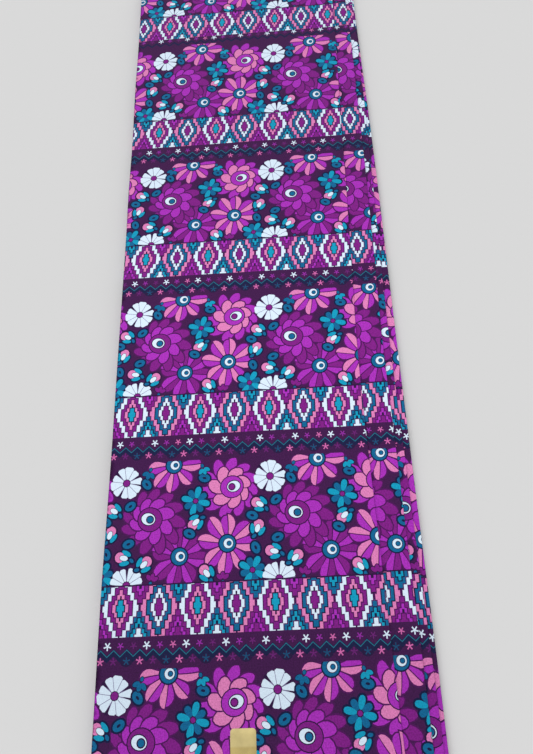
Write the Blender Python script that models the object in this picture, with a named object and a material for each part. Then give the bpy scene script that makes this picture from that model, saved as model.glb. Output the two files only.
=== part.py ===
# A length of printed cotton, folded back and forth into a long flat strip and laid down.
# X runs across the strip, +Y along it to the far end, +Z up, with the origin under its middle.
# The cloth's full width, selvedge to selvedge, is the strip's length. Each leaf is two layers of
# cloth, joined by a fold at the right; the next leaf down hangs on a fold at the left.

import math

import bmesh
import bpy

# The cloth and how loosely it is folded
CLOTH_WIDTH = 1.190  # selvedge to selvedge
WALL = 0.0010  # one layer that shows, with the air it holds
SEAM = 0.0003  # between pieces, and between the two layers of a leaf
PITCH = WALL + SEAM  # from one layer to the next
FOLD_REACH = PITCH / 2 + WALL / 2  # how far a fold stands out past its centre
FOLD_STEPS = 4  # flats on a half round fold
FOLD_TAB = 0.0020  # a left fold's short flat end, before the leaf above goes on

# The hidden layers underneath
INNER_COUNT = 8
INNER_HEIGHT = 0.0046
INNER_LEFT = 0.0016  # set in from the strip's left side
INNER_RIGHT = 0.0018  # set in from the fourth leaf's fold
INNER_ENDS = 0.0022  # set in from the selvedges
FOLD_GROOVE = 0.0007  # depth between two folds at the sides
SELVEDGE_GROOVE = 0.0005  # depth between two layers at the ends

# The grid that every leaf and the top of the hidden layers share, so that they stay parallel
STATIONS = 19  # sections along the strip
COLUMNS = 5  # points across, up to GRID_REACH
GRID_REACH = 0.270

# The sticker on the top leaf
STICKER_WIDTH = 0.0265
STICKER_LENGTH = 0.0450
STICKER_THICKNESS = 0.0004
STICKER_CORNER = 0.0035
STICKER_CORNER_STEPS = 4
STICKER_ACROSS = 0.1554  # its middle, from the strip's left side
STICKER_FAR_EDGE = 0.0740  # from the near end

# How far each leaf's right fold lies from the strip's left side
# along is measured from the near end
FOLD_LINES = [
    # along, top, second, third, fourth
    (0.000, 0.3182, 0.3449, 0.3552, 0.3587),
    (0.120, 0.3148, 0.3444, 0.3543, 0.3590),
    (0.250, 0.3113, 0.3427, 0.3522, 0.3590),
    (0.380, 0.3087, 0.3418, 0.3509, 0.3590),
    (0.500, 0.3081, 0.3406, 0.3496, 0.3590),
    (0.640, 0.3111, 0.3431, 0.3509, 0.3590),
    (0.770, 0.3143, 0.3444, 0.3526, 0.3590),
    (0.900, 0.3169, 0.3453, 0.3543, 0.3587),
    (1.030, 0.3208, 0.3466, 0.3552, 0.3578),
    (1.190, 0.3225, 0.3464, 0.3550, 0.3569),
]

# The leaves that show, from the top down: small amounts that each is set in at its other edges
LEAVES = [
    # node, left, near, far
    ("top_leaf", 0.0000, 0.0030, 0.0000),
    ("second_leaf", 0.0007, 0.0000, 0.0035),
    ("third_leaf", 0.0012, 0.0045, 0.0012),
    ("fourth_leaf", 0.0005, 0.0015, 0.0048),
]

# Soft rises of the loosely folded strip
RISES = [
    # across, along, spread across, spread along, height
    (0.060, 0.080, 0.090, 0.130, 0.0006),
    (0.230, 0.330, 0.110, 0.160, 0.0008),
    (0.080, 0.560, 0.100, 0.150, 0.0007),
    (0.250, 0.800, 0.090, 0.140, 0.0005),
    (0.110, 1.040, 0.120, 0.150, 0.0008),
]

# Colours of the printed cotton, taken over its whole pattern, and of the sticker
TOP_COLOUR = (0.190, 0.045, 0.195)
EDGE_COLOUR = (0.170, 0.040, 0.180)
INNER_COLOUR = (0.120, 0.030, 0.130)
GOLD = (0.560, 0.400, 0.150)

HALF_WIDTH = max(row[4] for row in FOLD_LINES) / 2
LEAVES_HEIGHT = 2 * len(LEAVES) * PITCH
TOP = INNER_HEIGHT + LEAVES_HEIGHT


def clear_scene():
    for thing in list(bpy.data.objects):
        bpy.data.objects.remove(thing, do_unlink=True)


def fold_line(along, leaf):
    """Distance of a leaf's right fold from the strip's left side, smooth between the table's rows."""
    column = leaf + 1
    last = len(FOLD_LINES) - 2
    low = 0
    while low < last and along > FOLD_LINES[low + 1][0]:
        low += 1
    start, end = FOLD_LINES[low], FOLD_LINES[low + 1]
    before = FOLD_LINES[max(low - 1, 0)]
    after = FOLD_LINES[min(low + 2, last + 1)]
    span = end[0] - start[0]
    slope_in = (end[column] - before[column]) / (end[0] - before[0])
    slope_out = (after[column] - start[column]) / (after[0] - start[0])
    t = (along - start[0]) / span
    return (
        (2 * t**3 - 3 * t**2 + 1) * start[column]
        + (t**3 - 2 * t**2 + t) * span * slope_in
        + (3 * t**2 - 2 * t**3) * end[column]
        + (t**3 - t**2) * span * slope_out
    )


def rise(across, along):
    """Height of the soft rises at one point of the shared grid."""
    total = 0.0
    for centre_x, centre_y, spread_x, spread_y, height in RISES:
        x = (across - centre_x) / spread_x
        y = (along - centre_y) / spread_y
        total += height * math.exp(-(x * x + y * y))
    return total


def ground(across, along):
    """The rises again, straight between the grid's points, so that every layer has the same flats."""
    step_x = GRID_REACH / (COLUMNS - 1)
    step_y = CLOTH_WIDTH / (STATIONS - 1)
    u = min(max(across / step_x, 0.0), COLUMNS - 1)
    v = min(max(along / step_y, 0.0), STATIONS - 1)
    i = min(int(u), COLUMNS - 2)
    j = min(int(v), STATIONS - 2)
    u -= i
    v -= j
    near = rise(i * step_x, j * step_y) * (1 - u) + rise((i + 1) * step_x, j * step_y) * u
    j += 1
    far = rise(i * step_x, j * step_y) * (1 - u) + rise((i + 1) * step_x, j * step_y) * u
    return near * (1 - v) + far * v


def place(across, along, height):
    """A point of the strip, given from its left side, its near end and the floor."""
    return (
        across - HALF_WIDTH,
        along - CLOTH_WIDTH / 2,
        height + ground(across, along),
    )


def stations(near, far):
    """The shared sections along the strip, with the two end ones set in."""
    places = [CLOTH_WIDTH * j / (STATIONS - 1) for j in range(STATIONS)]
    places[0] = near
    places[-1] = CLOTH_WIDTH - far
    return places


def grid_columns(start):
    """The shared columns that lie clear of a leaf's left edge, from left to right."""
    places = [GRID_REACH * i / (COLUMNS - 1) for i in range(COLUMNS)]
    return [x for x in places if x > start]


def layer_height(layer):
    """Height of the middle of a layer, counted from 0 at the top."""
    return TOP - WALL / 2 - layer * PITCH


def half_round(across, height, first_angle, last_angle):
    """Points on the middle of a fold's wall, each with the direction in which its outer face lies."""
    points = []
    for step in range(FOLD_STEPS + 1):
        angle = math.radians(first_angle + (last_angle - first_angle) * step / FOLD_STEPS)
        way = (math.cos(angle), math.sin(angle))
        points.append((across + way[0] * PITCH / 2, height + way[1] * PITCH / 2, way))
    return points


def leaf_line(leaf, right):
    """Middle of one leaf's wall, from its upper end, round the right fold, to its lower end."""
    upper = layer_height(2 * leaf)
    lower = layer_height(2 * leaf + 1)
    left = LEAVES[leaf][1]
    up, down = (0.0, 1.0), (0.0, -1.0)
    line = []
    if leaf == 0:
        line.append((left, upper, up))
        first_column = left
    else:
        # The fold that hangs this leaf on the one above: the outer face of the fold is on the
        # left, so its directions are turned inwards to stay on one side of the wall.
        tab = left + FOLD_REACH + FOLD_TAB
        above = layer_height(2 * leaf - 1)
        line.append((tab, above, down))
        for x, z, way in half_round(left + FOLD_REACH, (above + upper) / 2, 90, 270):
            line.append((x, z, (-way[0], -way[1])))
        first_column = tab
    for x in grid_columns(first_column):
        line.append((x, upper, up))
    line += half_round(right - FOLD_REACH, (upper + lower) / 2, 90, -90)
    if leaf + 1 < len(LEAVES):
        end = LEAVES[leaf + 1][1] + FOLD_REACH + FOLD_TAB + SEAM
    else:
        end = left
    for x in reversed(grid_columns(end)):
        line.append((x, lower, down))
    line.append((end, lower, down))
    return line


def make_object(name, bm, colour, roughness, metallic):
    bmesh.ops.recalc_face_normals(bm, faces=bm.faces)
    mesh = bpy.data.meshes.new(name)
    bm.to_mesh(mesh)
    bm.free()
    thing = bpy.data.objects.new(name, mesh)
    bpy.context.scene.collection.objects.link(thing)
    material = bpy.data.materials.new(name)
    material.use_nodes = True
    shader = material.node_tree.nodes["Principled BSDF"]
    shader.inputs["Base Color"].default_value = (*colour, 1.0)
    shader.inputs["Roughness"].default_value = roughness
    shader.inputs["Metallic"].default_value = metallic
    mesh.materials.append(material)
    return thing


def make_leaf(leaf):
    """A doubled leaf: one wall, carried along the strip and folded at the right."""
    name, _, near, far = LEAVES[leaf]
    bm = bmesh.new()
    rings = []
    for along in stations(near, far):
        line = leaf_line(leaf, fold_line(along, leaf))
        outer = [place(x + way[0] * WALL / 2, along, z + way[1] * WALL / 2) for x, z, way in line]
        inner = [place(x - way[0] * WALL / 2, along, z - way[1] * WALL / 2) for x, z, way in line]
        rings.append([bm.verts.new(p) for p in outer + inner[::-1]])
    count = len(rings[0])
    for ring, following in zip(rings, rings[1:]):
        for i in range(count):
            k = (i + 1) % count
            bm.faces.new((ring[i], ring[k], following[k], following[i]))
    for ring in (rings[0], rings[-1]):
        for i in range(count // 2 - 1):
            k = count - 1 - i
            bm.faces.new((ring[i], ring[i + 1], ring[k - 1], ring[k]))
    colour = TOP_COLOUR if leaf == 0 else EDGE_COLOUR
    return make_object(name, bm, colour, 0.75, 0.0)


def fold_inset(level, shift):
    """How far the side is set in at a level: half round for each pair of layers."""
    phase = (level + shift) % 4
    return FOLD_GROOVE * (1 - math.sin(math.pi * phase / 4))


def inner_ring(level, columns, places):
    """The outline of the hidden layers at one level, anticlockwise from the near left corner."""
    share = level / (2 * INNER_COUNT)
    left = INNER_LEFT + fold_inset(level, 2)
    right_inset = INNER_RIGHT + fold_inset(level, 0)
    end_inset = INNER_ENDS + (SELVEDGE_GROOVE if level % 2 == 0 else 0.0)
    near, far = places[0] + end_inset, places[-1] - end_inset

    def point(x, y):
        across, along, top = place(x, y, INNER_HEIGHT)
        return (across, along, top * share)

    def right(y):
        return fold_line(y, len(LEAVES) - 1) - right_inset

    ring = [point(x, near) for x in [left, *columns, right(near)]]
    ring += [point(right(y), y) for y in places[1:-1]]
    ring += [point(x, far) for x in [right(far), *reversed(columns), left]]
    ring += [point(left, y) for y in reversed(places[1:-1])]
    return ring


def make_inner_layers():
    """The hidden layers as one solid, ribbed at the sides and ends where folds and selvedges show."""
    bm = bmesh.new()
    columns = grid_columns(INNER_LEFT + FOLD_GROOVE)
    places = stations(0.0, 0.0)
    rings = []
    for level in range(2 * INNER_COUNT + 1):
        rings.append([bm.verts.new(p) for p in inner_ring(level, columns, places)])
    count = len(rings[0])
    for ring, following in zip(rings, rings[1:]):
        for i in range(count):
            k = (i + 1) % count
            bm.faces.new((ring[i], ring[k], following[k], following[i]))
    bm.faces.new(rings[0])
    # The top is a grid, so that it has the flats of the leaf that lies on it
    across, along = len(columns) + 2, len(places)
    top = rings[-1]
    rows = [top[:across]]
    for j in range(1, along - 1):
        middle = [bm.verts.new(place(x, places[j], INNER_HEIGHT)) for x in columns]
        rows.append([top[count - j], *middle, top[across - 1 + j]])
    rows.append(list(reversed(top[across + along - 2 : 2 * across + along - 2])))
    for row, following in zip(rows, rows[1:]):
        for i in range(across - 1):
            bm.faces.new((row[i], row[i + 1], following[i + 1], following[i]))
    return make_object("inner_layers", bm, INNER_COLOUR, 0.8, 0.0)


def make_sticker():
    """A thin plate with round corners, made from the top leaf's points moved out."""
    bm = bmesh.new()
    outline = []
    reach_x = STICKER_WIDTH / 2 - STICKER_CORNER
    reach_y = STICKER_LENGTH / 2 - STICKER_CORNER
    middle_y = STICKER_FAR_EDGE - STICKER_LENGTH / 2
    for quarter, (side_x, side_y) in enumerate([(1, 1), (-1, 1), (-1, -1), (1, -1)]):
        for step in range(STICKER_CORNER_STEPS + 1):
            angle = math.pi / 2 * (quarter + step / STICKER_CORNER_STEPS)
            across = STICKER_ACROSS + side_x * reach_x + STICKER_CORNER * math.cos(angle)
            along = middle_y + side_y * reach_y + STICKER_CORNER * math.sin(angle)
            outline.append((across, along))
    base = TOP + SEAM
    low = [bm.verts.new(place(x, y, base)) for x, y in outline]
    high = [bm.verts.new(place(x, y, base + STICKER_THICKNESS)) for x, y in outline]
    count = len(outline)
    for i in range(count):
        k = (i + 1) % count
        bm.faces.new((low[i], low[k], high[k], high[i]))
    bm.faces.new(low)
    bm.faces.new(high)
    return make_object("gold_sticker", bm, GOLD, 0.35, 0.6)


def main():
    clear_scene()
    for leaf in range(len(LEAVES)):
        make_leaf(leaf)
    make_inner_layers()
    make_sticker()


main()
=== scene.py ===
# A length of printed cotton, folded back and forth into a long flat strip, with a plain gold sticker.
# X runs across the strip, +Y along it to the far end and +Z up, in metres.
# "across" is counted from the strip's left side, and "along" from its near end.

import math

import bpy
import numpy as np
from mathutils import Matrix, Vector
from mathutils.bvhtree import BVHTree
from mathutils.geometry import delaunay_2d_cdt


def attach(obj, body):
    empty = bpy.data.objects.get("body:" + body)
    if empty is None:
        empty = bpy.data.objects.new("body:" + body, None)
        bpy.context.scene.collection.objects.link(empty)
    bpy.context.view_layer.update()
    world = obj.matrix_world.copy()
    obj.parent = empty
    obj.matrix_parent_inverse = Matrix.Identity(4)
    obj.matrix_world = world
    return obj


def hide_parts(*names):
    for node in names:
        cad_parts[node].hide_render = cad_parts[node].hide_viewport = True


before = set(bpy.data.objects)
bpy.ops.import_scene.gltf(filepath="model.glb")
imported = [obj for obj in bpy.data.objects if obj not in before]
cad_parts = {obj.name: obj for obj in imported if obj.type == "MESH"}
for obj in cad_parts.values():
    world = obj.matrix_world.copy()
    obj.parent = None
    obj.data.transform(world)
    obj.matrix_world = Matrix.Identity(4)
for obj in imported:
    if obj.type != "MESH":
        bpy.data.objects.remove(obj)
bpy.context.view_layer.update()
bpy.ops.object.select_all(action="DESELECT")

strip = {
    "length": 1.190,  # the cloth's own width, from selvedge to selvedge
    "width": 0.359,
    "layer": 0.0013,  # from one layer that shows to the next
    "wall": 0.0010,  # height that one such layer takes
    "cotton": 0.0004,  # thickness of the cloth itself
    "innerHeight": 0.0046,  # the eight layers underneath
    "leaves": 4,  # doubled leaves that show
}
foldReach = (strip["layer"] + strip["wall"]) / 2  # radius of a fold
topHeight = strip["innerHeight"] + 2 * strip["leaves"] * strip["layer"]

# where each leaf's right fold lies
foldLines = np.array([
    # along, top, second, third, fourth
    (0.000, 0.3182, 0.3459, 0.3567, 0.3610),
    (0.120, 0.3148, 0.3454, 0.3558, 0.3613),
    (0.250, 0.3121, 0.3437, 0.3538, 0.3608),
    (0.380, 0.3093, 0.3428, 0.3524, 0.3606),
    (0.500, 0.3087, 0.3416, 0.3510, 0.3605),
    (0.640, 0.3123, 0.3438, 0.3525, 0.3609),
    (0.770, 0.3155, 0.3454, 0.3542, 0.3613),
    (0.900, 0.3181, 0.3458, 0.3560, 0.3608),
    (1.030, 0.3216, 0.3464, 0.3568, 0.3594),
    (1.190, 0.3237, 0.3436, 0.3560, 0.3588),
])
halfWidth = strip["width"] / 2

# soft rises of the loosely folded strip, which every layer follows
rises = [
    # across, along, spread across, spread along, height
    (0.060, 0.080, 0.090, 0.130, 0.0006),
    (0.230, 0.330, 0.110, 0.160, 0.0008),
    (0.080, 0.560, 0.100, 0.150, 0.0007),
    (0.250, 0.800, 0.090, 0.140, 0.0005),
    (0.110, 1.040, 0.120, 0.150, 0.0008),
]


def smoothed(rows, column, at):
    # a curve through a table's rows, with the first column as its places
    places, values = rows[:, 0], rows[:, column]
    slopes = np.empty(len(places))
    slopes[1:-1] = (values[2:] - values[:-2]) / (places[2:] - places[:-2])
    slopes[0] = (values[1] - values[0]) / (places[1] - places[0])
    slopes[-1] = (values[-1] - values[-2]) / (places[-1] - places[-2])
    i = np.clip(np.searchsorted(places, at) - 1, 0, len(places) - 2)
    span = places[i + 1] - places[i]
    t = np.clip((at - places[i]) / span, 0.0, 1.0)
    return (
        (2 * t**3 - 3 * t**2 + 1) * values[i]
        + (t**3 - 2 * t**2 + t) * span * slopes[i]
        + (3 * t**2 - 2 * t**3) * values[i + 1]
        + (t**3 - t**2) * span * slopes[i + 1]
    )


def foldLine(leaf, along):
    return smoothed(foldLines, leaf + 1, along)


def ground(across, along):
    total = np.zeros(np.broadcast(across, along).shape)
    for x, y, spreadX, spreadY, height in rises:
        total += height * np.exp(-(((across - x) / spreadX) ** 2) - ((along - y) / spreadY) ** 2)
    return total


def easing(t):
    t = np.clip(t, 0.0, 1.0)
    return t * t * (3 - 2 * t)


def wire(node, inputs):
    # each input gets a value, or a link from another node
    for key, value in inputs.items():
        if isinstance(value, bpy.types.NodeSocket):
            node.id_data.links.new(value, node.inputs[key])
        else:
            node.inputs[key].default_value = value


def newMaterial(name):
    # a material, its shader and a function that adds a node to it
    material = bpy.data.materials.new(name)
    material.use_nodes = True
    tree = material.node_tree

    def add(kind, inputs=None, **settings):
        node = tree.nodes.new("ShaderNode" + kind)
        for key, value in settings.items():
            setattr(node, key, value)
        wire(node, inputs or {})
        return node

    return material, tree.nodes["Principled BSDF"], add


# Camera, floor and light

view = {
    "place": (0.0421, -0.4168, 0.7144),
    "down": 68.05,  # degrees below the horizon
    "turn": 6.08,  # degrees to the left of the strip's own direction
    "roll": -8.54,
    "lens": 28.65,  # in mm
    "film": 36.0,  # along the picture's long side
}
stage = {
    "floorSize": 9.0,
    "floorColour": (0.70, 0.70, 0.70),
    "floorRoughness": 0.9,
    "sky": 0.694,  # as bright as the floor, so that its edge doesn't show
    "lampFrom": (-0.35, 0.45, 1.0),  # direction the soft light comes from
    "lampSpread": 70.0,  # degrees
    "lampStrength": 1.08,
}


def makeCamera():
    down, turn, roll = (math.radians(view[k]) for k in ("down", "turn", "roll"))
    spin = Matrix.Rotation(turn, 3, "Z")
    forward = spin @ Vector((0.0, math.cos(down), -math.sin(down)))
    up = spin @ Vector((0.0, math.sin(down), math.cos(down)))
    right = spin @ Vector((1.0, 0.0, 0.0))
    right, up = right * math.cos(roll) + up * math.sin(roll), up * math.cos(roll) - right * math.sin(roll)
    lens = bpy.data.cameras.new("camera")
    lens.lens = view["lens"]
    lens.sensor_width = view["film"]
    camera = bpy.data.objects.new("camera", lens)
    bpy.context.scene.collection.objects.link(camera)
    turned = Matrix((right, up, -forward)).transposed()
    camera.matrix_world = Matrix.Translation(view["place"]) @ turned.to_4x4()
    bpy.context.scene.camera = camera


def makeStage():
    bpy.ops.mesh.primitive_plane_add(size=stage["floorSize"])
    floor = bpy.context.active_object
    floor.name = "floor"
    paper, shader, _ = newMaterial("paper")
    wire(shader, {
        "Base Color": (*stage["floorColour"], 1.0),
        "Roughness": stage["floorRoughness"],
        "Specular IOR Level": 0.0,
    })
    floor.data.materials.append(paper)
    lamp = bpy.data.lights.new("softLamp", "SUN")
    lamp.angle = math.radians(stage["lampSpread"])
    lamp.energy = stage["lampStrength"]
    holder = bpy.data.objects.new("softLamp", lamp)
    holder.rotation_euler = Vector(stage["lampFrom"]).to_track_quat("Z", "Y").to_euler()
    bpy.context.scene.collection.objects.link(holder)
    world = bpy.data.worlds.new("studio")
    world.use_nodes = True
    wire(world.node_tree.nodes["Background"], {"Color": (1.0, 1.0, 1.0, 1.0), "Strength": stage["sky"]})
    bpy.context.scene.world = world
    bpy.context.scene.view_settings.view_transform = "Standard"
    print("camera, floor and light are in place")


makeCamera()
makeStage()


# The print. Its shapes are laid out in diamond pitches: s runs across the strip to the right,
# and w from the far edge of a band of diamonds towards the near end. Later shapes lie on earlier ones.

printing = {
    "pitch": 0.043,  # from one diamond to the next
    "repeat": 4.0,  # flowers and stars come back after this many diamonds
    "period": 5.227,  # from one band of diamonds to the next
    "diamondBand": 1.21,
    "starBand": 0.75,
    "narrowRow": 4,  # at the far end the flowers come closer to the diamonds,
    "narrowBand": 0.39,  # the stars have less room
    "spread": 1.06,  # and the flowers have more
    "middle": 0.53,  # of the diamonds, from their band's far edge
    "hanging": 0.41,  # how far the wedges between them hang down
    "standing": 0.62,  # and stand up
    "rule": 0.035,  # dark line along the band's far edge
    "line": 0.034,  # dark outline of the flowers
    "blueLine": 0.046,  # of the blue ones
    "fineLine": 0.027,  # of the steps
    "fineBlueLine": 0.030,  # and of the blue steps
    "merge": 0.004,  # points of an outline that are closer become one
    "bandEdge": 0.2148,  # far edge of the nearest diamonds, on the left side
    "selvedge": 0.007,  # plain edge of the cloth
}
dyes = {
    "plum": (66, 25, 76),
    "ink": (46, 18, 64),
    "wine": (80, 20, 90),
    "navy": (20, 25, 66),
    "magenta": (170, 48, 186),
    "purple": (129, 30, 134),
    "pink": (224, 129, 187),
    "white": (221, 239, 255),
    "grey": (120, 110, 150),
    "cyan": (16, 156, 192),
    "teal": (14, 102, 149),
    "starPurple": (148, 46, 162),
    "starDim": (104, 34, 112),
    "starPink": (210, 106, 172),
    "starBlue": (25, 76, 116),
    "starShade": (40, 25, 66),
    "zigzag": (38, 112, 136),
    "zigzagShade": (26, 31, 71),
}
dyeNames = list(dyes)
tau = 2 * math.pi


def tidied(points):
    # without points that fall together
    kept = []
    for p in points:
        if not kept or math.dist(p, kept[-1]) > printing["merge"]:
            kept.append(p)
    if len(kept) > 1 and math.dist(kept[0], kept[-1]) <= printing["merge"]:
        kept.pop()
    return kept


def polar(x, y, reach, angle):
    return x + reach * math.cos(angle), y + reach * math.sin(angle)


def oval(x, y, wide, tall=None, turn=0.0, count=18):
    tall = tall or wide
    c, s = math.cos(turn), math.sin(turn)
    points = []
    for i in range(count):
        a = tau * i / count
        u, v = wide * math.cos(a), tall * math.sin(a)
        points.append((x + u * c - v * s, y + u * s + v * c))
    return points


# The flowers' own sizes. Each kind of petal has how far out it is widest, its width at the foot,
# how full it is (less is fuller) and its points along one side.
flowerForm = {
    "daisy": (1.5, 0.5, 0.45, 8),
    "rosette": (1.5, 0.4, 0.42, 7),
    "floret": (1.5, 0.1, 0.4, 6),
    "sprig": (1.1, 0.3, 0.6, 5),
    "petalFrom": 0.17,  # where a daisy's petals start
    "petalWide": 0.29,  # half their width, as a share of their room
    "petalCurl": 0.09,  # how far a tip bends aside, as a share of the size
    "petalLine": 0.016,  # half the line between two petals
    "toneLine": 0.013,  # and between a petal's two tones
    "secondTone": 0.95,  # how far the second tone reaches, as a share
    "ringFrom": 0.6,  # where a rosette's petals start, as a share of their ring's inside
    "ringWide": 0.70,  # half their width, as a share of their room
    "ringCurl": 0.16,
    "ringLean": 0.13,  # how much longer they are on one side
    "ringDisc": 0.45,  # dark disc under a ring, as a share of its inside and outside together
    "ringDot": (0.13, 0.095),  # dark ring in the middle and the dot in it, as shares of the size
    "blueFrom": 0.07,  # where a blue flower's petals start
    "blueWide": 0.085,  # half their width
    "blueShort": 0.86,  # reach of the darker ones, as a share
    "blueDot": (0.085, 0.062),
    "eye": 0.215,
    "eyeLine": 0.036,
    "look": 0.026,  # how far the white of the eye stands aside
    "notch": 0.045,  # half widths of a white flower's notches
    "thinLine": 0.007,  # and of its lines
    "cleft": 0.055,  # half width of the dark part of a notch, at its mouth
    "cleftFrom": 0.45,  # and where it starts, as a share of the size
    "greyDisc": 0.9,  # reach of the grey that shows as its lines, as a share
    "whiteDot": (0.112, 0.09),
    "seed": (0.16, 0.115),  # half length and half width
    "sprigTilt": 0.9,  # of its outer leaves
    "sprigWide": 0.27,  # half a leaf's width, as a share of its length
    "sprigLine": 0.02,
}


def petal(kind, x, y, turn, start, end, wide, half=0, curl=0.0, gap=0.0, room=None):
    # a drop that leaves (x, y) in the direction turn, and keeps within the angle room on both sides of it;
    # half = 1 or -1 gives one side of it
    out, foot, full, count = flowerForm[kind]
    c, s = math.cos(turn), math.sin(turn)
    sides = {1: [], -1: [], 0: []}
    for i in range(count + 1):
        t = (1 - math.cos(math.pi * i / count)) / 2
        reach = start + (end - start) * t
        swell = math.sin(math.pi * t**out) ** full if 0 < t < 1 else 0.0
        width = wide * (swell + foot * (1 - t) ** 3)
        if room:
            width = min(width, reach * math.tan(room) - flowerForm["petalLine"])
        for side in sides:
            off = curl * t * t + (side * width if side else half * gap)
            sides[side].append((x + reach * c - off * s, y + reach * s + off * c))
    if half:
        return tidied(sides[half] + sides[0][::-1])
    return tidied(sides[1] + sides[-1][::-1])


def uneven(size, phase):
    # a petal's reach, which differs a little from the next one's
    return size * (0.97 + 0.05 * math.sin(phase))


def edgeOf(tint):
    return "navy" if tint in ("teal", "cyan") else "ink"


def dot(shapes, x, y, outer, inner, tint="purple", count=12):
    # a round spot in a dark ring
    shapes.append(("ink", oval(x, y, outer, count=count)))
    shapes.append((tint, oval(x, y, inner, count=count)))


def eye(shapes, x, y):
    size, look = flowerForm["eye"], flowerForm["look"]
    shapes.append(("navy", oval(x, y, size + flowerForm["eyeLine"])))
    shapes.append(("teal", oval(x, y, size)))
    rings = (
        # tint, share of the size, how far it looks aside, points
        ("ink", 0.66, 1.0, 16),
        ("white", 0.58, 1.0, 16),
        ("ink", 0.33, 1.8, 12),
        ("teal", 0.25, 1.8, 10),
    )
    for tint, share, away, count in rings:
        shapes.append((tint, oval(x + look * away, y, size * share, count=count)))


def daisy(shapes, x, y, size, petals, first, second, start=0.0, span=tau):
    # curved petals of two tones, with one side a little longer than the other
    gaps = petals if span == tau else petals - 1
    low, wide = flowerForm["petalFrom"], flowerForm["petalWide"] * size * span / gaps
    for pad in (printing["line"], 0.0):
        gap, room = (-pad, None) if pad else (flowerForm["toneLine"], 0.5 * span / gaps)
        for i in range(petals):
            turn = start + span * i / gaps
            reach = uneven(size, 2.3 * i + x)
            curl = flowerForm["petalCurl"] * size * math.cos(1.9 * i + 5 * x)
            for half, tint, share in ((1, first, 1.0), (-1, second, flowerForm["secondTone"])):
                end = reach * share + pad
                points = petal("daisy", x, y, turn, low, end, wide + pad, half, curl, gap, room)
                shapes.append(("wine" if pad else tint, points))
    eye(shapes, x, y)


def rosette(shapes, x, y, size, tints, counts, lean):
    # two rings of slim petals round a heart with an eye, longer on one side
    outer, inner, heart, pupil = tints
    rings = (
        # petals, from and to as shares of the size, tint, turned by
        (counts[0], 0.40, 1.0, outer, 0.0),
        (counts[1], 0.2, 0.70, inner, 0.45),
    )
    for count, low, high, tint, shift in rings:
        wide = math.pi * size * high * flowerForm["ringWide"] / count
        curl = flowerForm["ringCurl"] * high
        shapes.append(("ink", oval(x, y, size * (low + high) * flowerForm["ringDisc"], count=20)))
        for i in range(count):
            a = tau * (i + shift) / count
            start = low * size * flowerForm["ringFrom"]
            end = size * high * (1 + flowerForm["ringLean"] * math.cos(a - lean))
            for pad in (printing["line"], 0.0):
                points = petal("rosette", x, y, a, start, end + pad, wide + pad, curl=curl)
                shapes.append(("wine" if pad else tint, points))
    ovals = (
        # tint, half length and half width as shares of the size, line, how far it stands aside
        ("ink", 0.38, 0.36, 0.026, 0.0),
        (heart, 0.38, 0.36, 0.0, 0.0),
        ("ink", 0.25, 0.21, 0.0, 0.05),
        ("white", 0.22, 0.18, 0.0, 0.05),
    )
    for tint, wide, tall, line, aside in ovals:
        ex, ey = polar(x, y, -aside, lean)
        shapes.append((tint, oval(ex, ey, wide * size + line, tall * size + line, lean)))
    dot(shapes, x, y, *(share * size for share in flowerForm["ringDot"]), pupil)


def floret(shapes, x, y, size, start):
    # eight blue petals, a lighter and a darker one in turn
    low, wide = flowerForm["blueFrom"], flowerForm["blueWide"]
    for pad in (printing["blueLine"], 0.0):
        for i in range(8):
            reach = size * (flowerForm["blueShort"] if i % 2 else 1.0)
            points = petal("floret", x, y, start + tau * i / 8, low, reach + pad, wide + pad)
            shapes.append(("navy" if pad else ("cyan", "teal")[i % 2], points))
    dot(shapes, x, y, *flowerForm["blueDot"], count=10)


def whiteFlower(shapes, x, y, size, petals, start=0.0, span=tau):
    # straight-sided petals, parted by thin grey lines and, at every third, by a notch
    step = span / petals
    ring = [start + step * i / 3 for i in range(3 * petals + (span < tau))]
    shapes.append(("grey", [polar(x, y, size * flowerForm["greyDisc"], a) for a in ring]))
    for i in range(petals):
        a = start + step * i
        first = flowerForm["notch" if i % 3 == 0 else "thinLine"] / size
        last = flowerForm["notch" if i % 3 == 2 else "thinLine"] / size
        tip = uneven(size, 2.1 * i)
        rays = (
            # reach, share of the petal's angle, turned by
            (0.1, 0.0, 0.07),
            (0.1, 1.0, -0.07),
            (tip * 0.93, 1.0, -last),
            (tip, 0.86, -last - 0.03),
            (tip, 0.14, first + 0.03),
            (tip * 0.93, 0.0, first),
        )
        shapes.append(("white", [polar(x, y, r, a + step * share + off) for r, share, off in rays]))
        if i % 3 == 0:
            half = flowerForm["cleft"] / size
            notch = ((size * flowerForm["cleftFrom"], a), (size, a + half), (size, a - half))
            shapes.append(("ink", [polar(x, y, r, b) for r, b in notch]))
    dot(shapes, x, y, *flowerForm["whiteDot"])


def bud(shapes, x, y, turn):
    # a white heart, with pink behind it, a blue leaf on each side and a small one in front
    c, s = math.cos(turn), math.sin(turn)
    parts = (
        # tint, forward, aside, half length, half width, tilt
        ("pink", -0.10, 0.0, 0.125, 0.135, 0.0),
        ("cyan", 0.06, 0.13, 0.135, 0.062, -0.35),
        ("cyan", 0.06, -0.13, 0.135, 0.062, 0.35),
        ("teal", 0.235, 0.03, 0.07, 0.045, 0.6),
    )
    for pad in (printing["blueLine"], 0.0):
        for tint, u, v, wide, tall, tilt in parts:
            points = oval(x + u * c - v * s, y + u * s + v * c, wide + pad, tall + pad, turn + tilt, 12)
            shapes.append((edgeOf(tint) if pad else tint, points))
    for tint, wide, tall in (("ink", 0.125, 0.082), ("white", 0.112, 0.068)):
        shapes.append((tint, oval(x + 0.015 * c, y + 0.015 * s, wide, tall, turn, 12)))


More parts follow.
